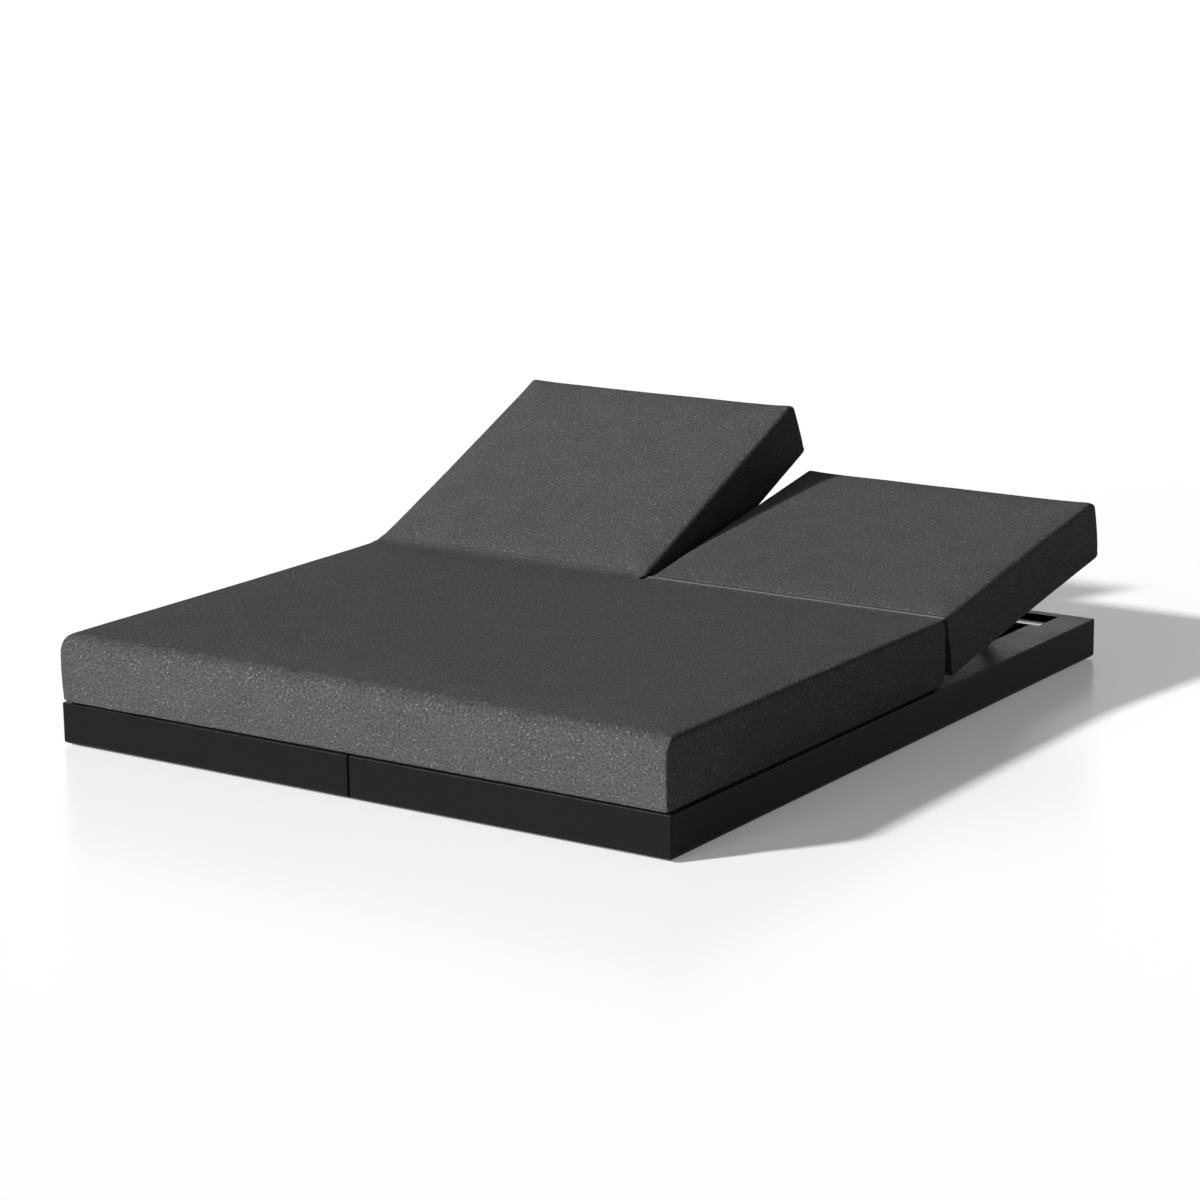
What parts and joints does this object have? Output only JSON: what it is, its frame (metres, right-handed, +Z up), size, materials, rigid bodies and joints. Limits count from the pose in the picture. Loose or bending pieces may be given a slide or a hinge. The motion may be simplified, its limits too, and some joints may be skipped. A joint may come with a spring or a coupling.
{
  "type": "double chaise lounger",
  "caption": "Low double daybed: black plinth, full-width charcoal seat cushion and two backs that recline separately on ratcheting lift frames.",
  "frame": {"origin": "on the floor under the middle of the plinth", "axes": "+Z up, -Y towards the foot end, +X to the right seen from the foot end"},
  "size_m": [1.8, 2.1347, 0.6182],
  "materials": {
    "plinth_plastic": "satin black moulded plastic",
    "glide_rubber": "black rubber",
    "board_plastic": "black board",
    "steel": "zinc-plated steel",
    "frame_paint": "black powder coat",
    "bar_aluminium": "anodised aluminium",
    "bearing_plastic": "dark nylon",
    "seat_fabric": "charcoal melange weave",
    "back_fabric": "charcoal melange weave"
  },
  "bodies": {
    "base": {"plinth_left": "plinth_plastic", "plinth_right": "plinth_plastic", "glides": "glide_rubber", "seat_board": "board_plastic", "joining_plates": "steel", "countersunk_screws": "steel", "rail_bolts": "steel", "seat_cushion": "seat_fabric", "rest_bar_left": "bar_aluminium", "ratchet_housing_left": "frame_paint", "well_rail_left_outer": "frame_paint", "lift_bearing_left_outer": "bearing_plastic", "seat_hinge_leaf_left_outer": "steel", "well_rail_left_inner": "frame_paint", "lift_bearing_left_inner": "bearing_plastic", "seat_hinge_leaf_left_inner": "steel", "rest_bar_right": "bar_aluminium", "ratchet_housing_right": "frame_paint", "well_rail_right_outer": "frame_paint", "lift_bearing_right_outer": "bearing_plastic", "seat_hinge_leaf_right_outer": "steel", "well_rail_right_inner": "frame_paint", "lift_bearing_right_inner": "bearing_plastic", "seat_hinge_leaf_right_inner": "steel"},
    "back_left": {"back_foot_rail_left": "frame_paint", "back_head_rail_left": "frame_paint", "back_rail_left_outer": "frame_paint", "back_rail_left_inner": "frame_paint", "back_slats_left": "frame_paint", "back_hinge_leaf_left_outer": "steel", "back_hinge_leaf_left_inner": "steel", "hinge_pins_left": "steel", "back_bumpers_left": "glide_rubber", "hinge_cover_left": "back_fabric", "back_cushion_left": "back_fabric"},
    "lift_left": {"torque_tube_left": "frame_paint", "lift_arm_left_outer": "frame_paint", "lift_arm_left_inner": "frame_paint", "roller_pins_left": "steel"},
    "roller_left_outer": {"lift_roller_left_outer": "bearing_plastic"},
    "roller_left_inner": {"lift_roller_left_inner": "bearing_plastic"},
    "back_right": {"back_foot_rail_right": "frame_paint", "back_head_rail_right": "frame_paint", "back_rail_right_outer": "frame_paint", "back_rail_right_inner": "frame_paint", "back_slats_right": "frame_paint", "back_hinge_leaf_right_outer": "steel", "back_hinge_leaf_right_inner": "steel", "hinge_pins_right": "steel", "back_bumpers_right": "glide_rubber", "hinge_cover_right": "back_fabric", "back_cushion_right": "back_fabric"},
    "lift_right": {"torque_tube_right": "frame_paint", "lift_arm_right_outer": "frame_paint", "lift_arm_right_inner": "frame_paint", "roller_pins_right": "steel"},
    "roller_right_outer": {"lift_roller_right_outer": "bearing_plastic"},
    "roller_right_inner": {"lift_roller_right_inner": "bearing_plastic"}
  },
  "joints": [
    {"name": "recline_left", "type": "hinge", "parent": "base", "child": "back_left", "pos_m": [-0.434, 0.222, 0.2755], "axis": [1, 0, 0], "range_deg": [-24, 27]},
    {"name": "lift_left_swing", "type": "hinge", "parent": "base", "child": "lift_left", "pos_m": [-0.434, 0.602, 0.065], "axis": [1, 0, 0], "range_deg": [-58.46, 65.7]},
    {"name": "roller_left_outer_spin", "type": "hinge", "parent": "lift_left", "child": "roller_left_outer", "pos_m": [-0.7608, 0.70592, 0.29896], "axis": [1, 0, 0], "continuous": true},
    {"name": "roller_left_inner_spin", "type": "hinge", "parent": "lift_left", "child": "roller_left_inner", "pos_m": [-0.1072, 0.70592, 0.29896], "axis": [1, 0, 0], "continuous": true},
    {"name": "recline_right", "type": "hinge", "parent": "base", "child": "back_right", "pos_m": [0.434, 0.222, 0.2755], "axis": [1, 0, 0], "range_deg": [-10.2, 40.8]},
    {"name": "lift_right_swing", "type": "hinge", "parent": "base", "child": "lift_right", "pos_m": [0.434, 0.602, 0.065], "axis": [1, 0, 0], "range_deg": [-25.13, 99.03]},
    {"name": "roller_right_outer_spin", "type": "hinge", "parent": "lift_right", "child": "roller_right_outer", "pos_m": [0.7608, 0.81678, 0.2043], "axis": [1, 0, 0], "continuous": true},
    {"name": "roller_right_inner_spin", "type": "hinge", "parent": "lift_right", "child": "roller_right_inner", "pos_m": [0.1072, 0.81678, 0.2043], "axis": [1, 0, 0], "continuous": true}
  ],
  "couplings": [
    {"joint": "lift_left_swing", "follows": "recline_left", "ratio": 2.415},
    {"joint": "lift_right_swing", "follows": "recline_right", "ratio": 2.415}
  ]
}
